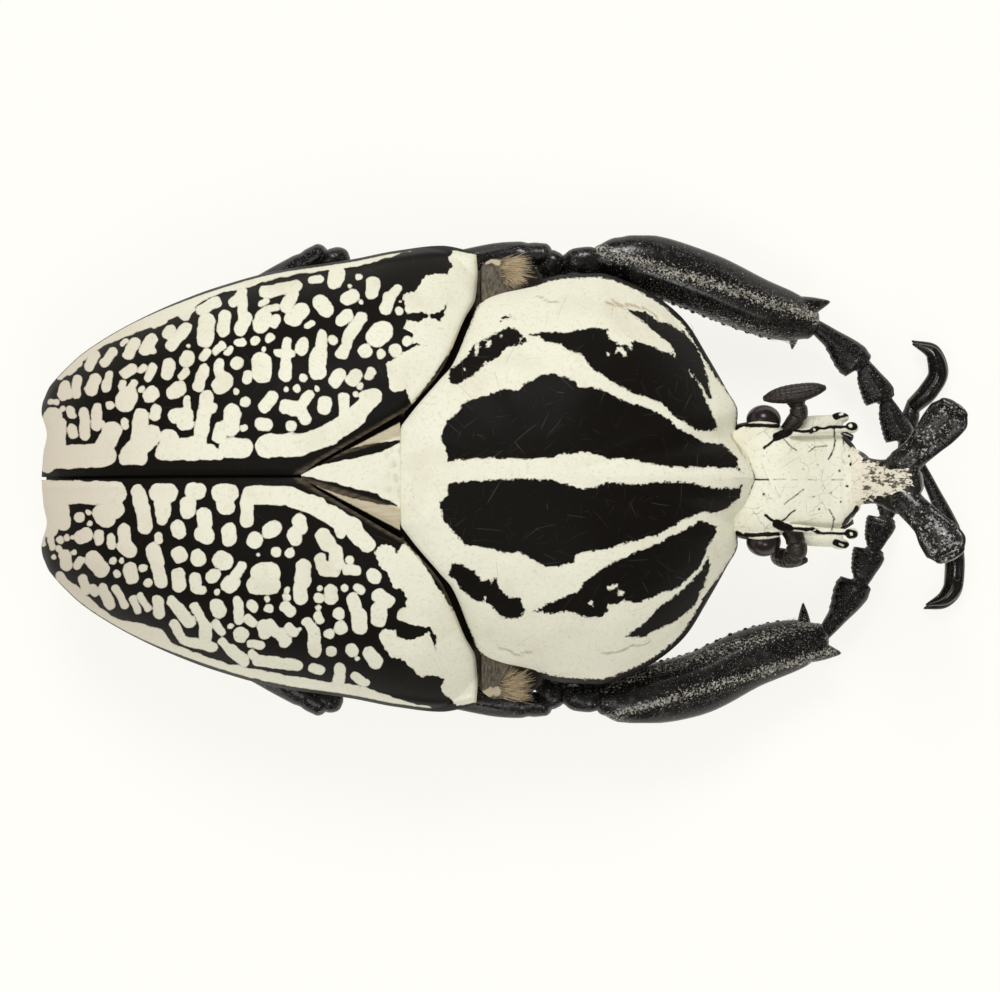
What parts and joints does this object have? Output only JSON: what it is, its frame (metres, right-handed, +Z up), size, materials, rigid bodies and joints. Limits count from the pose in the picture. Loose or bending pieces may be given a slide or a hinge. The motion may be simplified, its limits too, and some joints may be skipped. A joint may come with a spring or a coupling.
{
  "type": "goliath beetle",
  "caption": "Life-size male goliath beetle as a museum mounts it: patterned wing cases, domed shield, forked horn, legs folded, standing on its claws.",
  "frame": {"origin": "on the surface that the beetle stands on, under the middle of its bounding box", "axes": "+X towards the horn (the front), +Y towards the beetle's left side, +Z up through its back"},
  "size_m": [0.0934, 0.0492, 0.0287],
  "materials": {
    "patterned_shell": "chalky cream film with velvety black markings, satin",
    "black_chitin": "polished black with punctures",
    "eye": "dark glossy",
    "setae": "golden-brown bristles"
  },
  "bodies": {
    "root": {"abdomen": "black_chitin", "antenna_left": "black_chitin", "antenna_right": "black_chitin", "elytron_left": "patterned_shell", "elytron_right": "patterned_shell", "eye_left": "eye", "eye_right": "eye", "head": "patterned_shell", "horn_arm_left": "black_chitin", "horn_arm_right": "black_chitin", "horn_stem": "patterned_shell", "leg_front_left_claws": "black_chitin", "leg_front_left_coxa": "black_chitin", "leg_front_left_femur": "black_chitin", "leg_front_left_tarsus": "black_chitin", "leg_front_left_tibia": "black_chitin", "leg_front_right_claws": "black_chitin", "leg_front_right_coxa": "black_chitin", "leg_front_right_femur": "black_chitin", "leg_front_right_tarsus": "black_chitin", "leg_front_right_tibia": "black_chitin", "leg_hind_left_claws": "black_chitin", "leg_hind_left_coxa": "black_chitin", "leg_hind_left_femur": "black_chitin", "leg_hind_left_tarsus": "black_chitin", "leg_hind_left_tibia": "black_chitin", "leg_hind_right_claws": "black_chitin", "leg_hind_right_coxa": "black_chitin", "leg_hind_right_femur": "black_chitin", "leg_hind_right_tarsus": "black_chitin", "leg_hind_right_tibia": "black_chitin", "leg_mid_left_claws": "black_chitin", "leg_mid_left_coxa": "black_chitin", "leg_mid_left_femur": "black_chitin", "leg_mid_left_tarsus": "black_chitin", "leg_mid_left_tibia": "black_chitin", "leg_mid_right_claws": "black_chitin", "leg_mid_right_coxa": "black_chitin", "leg_mid_right_femur": "black_chitin", "leg_mid_right_tarsus": "black_chitin", "leg_mid_right_tibia": "black_chitin", "mouthparts": "black_chitin", "prothorax": "patterned_shell", "pygidium": "patterned_shell", "scutellum": "patterned_shell", "thorax": "black_chitin"}
  },
  "joints": []
}
